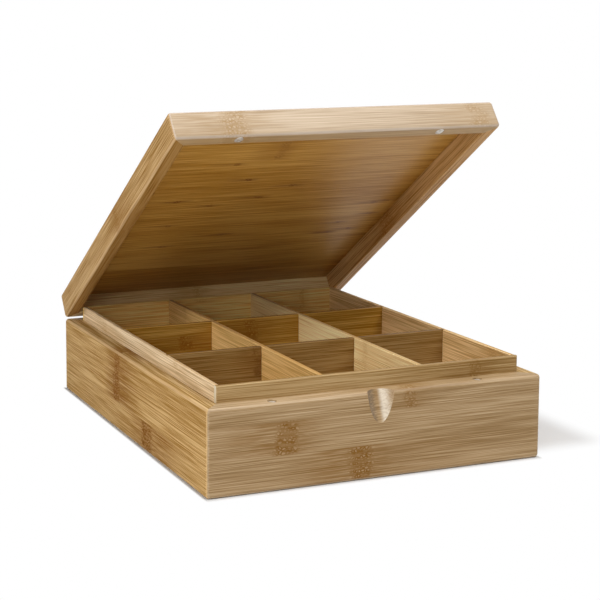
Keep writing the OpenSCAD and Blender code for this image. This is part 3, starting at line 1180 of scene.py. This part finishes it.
@dataclass
class Fittings:
    """Hinge leaves, pins, screws and magnets."""

    brass: MetalFinish = MetalFinish(bright=linear(214, 180, 112), dull=linear(168, 130, 70))
    steel: MetalFinish = MetalFinish(bright=linear(205, 206, 208), dull=linear(150, 150, 152))
    nickel: MetalFinish = MetalFinish(
        bright=linear(226, 222, 214), dull=linear(190, 184, 174), smooth=0.42, rough=0.6, metallic=0.5
    )

    def dress(self) -> None:
        """Dresses every metal node."""
        leaves = tuple(f"hinge_{part}_leaf_{side}" for part in ("box", "lid") for side in ("left", "right"))
        hardware = ("hinge_pin_left", "hinge_pin_right", "box_hinge_screws", "lid_hinge_screws")
        for name, finish, nodes in (
            ("hinge_brass", self.brass, leaves),
            ("plated_steel", self.steel, hardware),
            ("magnet_nickel", self.nickel, ("box_magnets", "lid_magnets")),
        ):
            material = finish.material(name)
            for node in nodes:
                put_on(node, material)


# ---------------------------------------------------------------------------
# Studio
# ---------------------------------------------------------------------------


@dataclass(frozen=True)
class SoftBox:
    """A square lamp that points at a target."""

    name: str
    place: Point
    size: float
    power: float
    target: Point = (0.0, 0.0, 0.05)

    def light(self) -> None:
        """Puts the lamp in the scene."""
        data = bpy.data.lights.new(self.name, "AREA")
        data.shape = "SQUARE"
        data.size = self.size
        data.energy = self.power
        lamp = bpy.data.objects.new(self.name, data)
        lamp.location = self.place
        aim = Vector(self.target) - Vector(self.place)
        lamp.rotation_euler = aim.to_track_quat("-Z", "Y").to_euler()
        bpy.context.scene.collection.objects.link(lamp)


@dataclass
class Studio:
    """White room, lamps and camera."""

    # The camera's place, where it looks, in degrees, and its lens, in pixels of a square picture
    eye: Point = (-0.459236, -0.922891, 0.298358)
    heading: float = 19.346
    pitch: float = -6.410
    roll: float = -0.464
    focal_pixels: float = 1441.60
    centre_pixels: tuple[float, float] = (104.54, 170.91)
    image_pixels: float = 600.0
    sensor: float = 36.0
    view_depth: float = 50.0
    floor_half: float = 6.0
    floor_tone: float = 0.86
    # The floor that the camera sees keeps its shadow within reach of two rectangles of the box's
    # size: a shifted one for the soft shadow, and the box's own foot for the contact shadow. Its
    # tone goes from contact_seen against the box to floor_seen further out.
    foot_half: tuple[float, float] = (0.12, 0.14)
    foot_centre: tuple[float, float] = (0.045, 0.03)
    shadow_reach: tuple[float, float] = (0.028, 0.028)
    contact_reach: tuple[float, float] = (0.002, 0.005)
    contact_seen: float = 0.6
    floor_seen: float = 0.75
    world_strength: float = 0.03
    glossy_strength: float = 0.35
    lamps: tuple[SoftBox, ...] = (
        SoftBox("key_lamp", (-1.4, -0.35, 0.95), 0.5, 10.4),
        SoftBox("fill_lamp", (-1.2, -1.15, 0.65), 0.8, 5.4),
        SoftBox("front_lamp", (-0.7, -1.1, 1.5), 0.8, 2.5),
        SoftBox("high_lamp", (0.5, -0.78, 1.72), 1.2, 24.5),
        SoftBox("top_lamp", (0.1, -0.15, 1.9), 1.4, 12.0),
    )

    def build(self) -> None:
        """Builds the world, the floor, the lamps and the camera."""
        self.make_world()
        self.make_floor()
        for lamp in self.lamps:
            lamp.light()
        self.make_camera()
        bpy.context.scene.view_settings.view_transform = "Standard"

    def make_world(self) -> None:
        """Makes a soft world that the camera sees as white and that gloss reflects as pale grey."""
        world = bpy.data.worlds.new("white_room")
        bpy.context.scene.world = world
        world.use_nodes = True
        desk = NodeDesk(world.node_tree)
        path = desk.add("ShaderNodeLightPath").outputs
        direct = desk.math("MAXIMUM", path["Is Camera Ray"], path["Is Transmission Ray"])
        glossy = desk.times(path["Is Glossy Ray"], self.glossy_strength)
        strength = desk.math("MAXIMUM", desk.math("MAXIMUM", direct, glossy), self.world_strength)
        room = desk.fill(desk.add("ShaderNodeBackground"), {"Color": WHITE, "Strength": strength})
        desk.fill(desk.add("ShaderNodeOutputWorld"), {"Surface": room.outputs[0]})

    def make_floor(self) -> None:
        """Makes the floor: it keeps shadows near the box and is plain white further out."""
        half = self.floor_half
        mesh = bpy.data.meshes.new("floor")
        corners = [(-half, -half, 0.0), (half, -half, 0.0), (half, half, 0.0), (-half, half, 0.0)]
        mesh.from_pydata(corners, [], [(0, 1, 2, 3)])
        floor = bpy.data.objects.new("floor", mesh)
        bpy.context.scene.collection.objects.link(floor)
        material, desk, place = start_material("floor_white")
        parts = desk.split(place.outputs["Object"])
        shadow = self.beside_foot(desk, parts, self.foot_centre, self.shadow_reach)
        contact = self.beside_foot(desk, parts, (0.0, 0.0), self.contact_reach)
        far = desk.math("MINIMUM", desk.remap(shadow, 0.0, 1.0), desk.remap(contact, 0.0, 1.0))
        seen = desk.remap(contact, 0.0, 1.0, self.contact_seen, self.floor_seen)
        matt = desk.fill(desk.add("ShaderNodeBsdfDiffuse"), {"Color": (self.floor_tone,) * 3})
        near = desk.fill(desk.add("ShaderNodeBsdfDiffuse"), {"Color": seen})
        white = desk.fill(desk.add("ShaderNodeEmission"), {"Strength": 1.0})
        seen_floor = desk.mix(far, near, white)
        plain = desk.mix(desk.add("ShaderNodeLightPath").outputs["Is Camera Ray"], matt, seen_floor)
        desk.fill(desk.add("ShaderNodeOutputMaterial"), {"Surface": plain.outputs[0]})
        mesh.materials.append(material)

    def beside_foot(
        self,
        desk: NodeDesk,
        parts: tuple[object, ...],
        centre: tuple[float, float],
        reach: tuple[float, float],
    ) -> object:
        """Measures how far a point of the floor lies outside a rectangle of the box's size.

        The distance is the root of the summed squares of what X and Y go past the rectangle, each
        divided by its reach.

        Args:
            desk: The floor material's desk.
            parts: Sockets of the point's X, Y and Z.
            centre: Centre of the rectangle.
            reach: The lengths along X and Y that count as 1.

        Returns:
            The distance's socket.
        """
        squares = []
        for part, middle, half_size, unit in zip(parts, centre, self.foot_half, reach):
            beside = desk.math("ABSOLUTE", desk.math("SUBTRACT", part, middle))
            beside = desk.math("MAXIMUM", desk.math("SUBTRACT", beside, half_size), 0.0)
            squares.append(desk.math("POWER", desk.math("DIVIDE", beside, unit), 2.0))
        return desk.math("SQRT", desk.math("ADD", squares[0], squares[1]))

    def make_camera(self) -> None:
        """Makes the camera from its heading, pitch, roll and lens."""
        heading = math.radians(self.heading)
        pitch = math.radians(self.pitch)
        roll = math.radians(self.roll)
        level_part = math.cos(pitch)
        ahead = Vector((math.sin(heading) * level_part, math.cos(heading) * level_part, math.sin(pitch)))
        level = ahead.cross(Axis.Z.vector).normalized()
        upright = level.cross(ahead)
        right = level * math.cos(roll) + upright * math.sin(roll)
        up = upright * math.cos(roll) - level * math.sin(roll)
        turn = Matrix((right, up, -ahead)).transposed()
        data = bpy.data.cameras.new("camera")
        data.sensor_width = self.sensor
        data.lens = self.focal_pixels * self.sensor / self.image_pixels
        data.shift_x = (self.image_pixels / 2 - self.centre_pixels[0]) / self.image_pixels
        data.shift_y = (self.centre_pixels[1] - self.image_pixels / 2) / self.image_pixels
        data.clip_end = self.view_depth
        camera = bpy.data.objects.new("camera", data)
        camera.matrix_world = Matrix.Translation(self.eye) @ turn.to_4x4()
        bpy.context.scene.collection.objects.link(camera)
        bpy.context.scene.camera = camera


# ---------------------------------------------------------------------------
# Frame, sizes and run
# ---------------------------------------------------------------------------


def lid_hinge() -> tuple[Point, float]:
    """Reads the lid's hinge from the frame.

    Returns:
        A point on its axis, and the angle from closed at which the lid stands, in radians.
    """
    joint = next(item for item in frame["joints"] if item["name"] == "lid_hinge")
    place = tuple(float(value) for value in joint["pos_m"])
    return place, math.radians(-joint["range_deg"][0])


def main() -> None:
    """Dresses the part and sets up the studio."""
    logging.basicConfig(level=logging.INFO, format="%(name)s: %(message)s")
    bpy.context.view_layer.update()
    for group in (BambooGrain, CaneKnuckle, BoardFaces, BrushedMetal):
        group.build()
    axis, tilt = lid_hinge()
    BoxBody().dress()
    Lid().dress(axis, tilt)
    Fittings().dress()
    Studio().build()


if __name__ == "__main__":
    main()
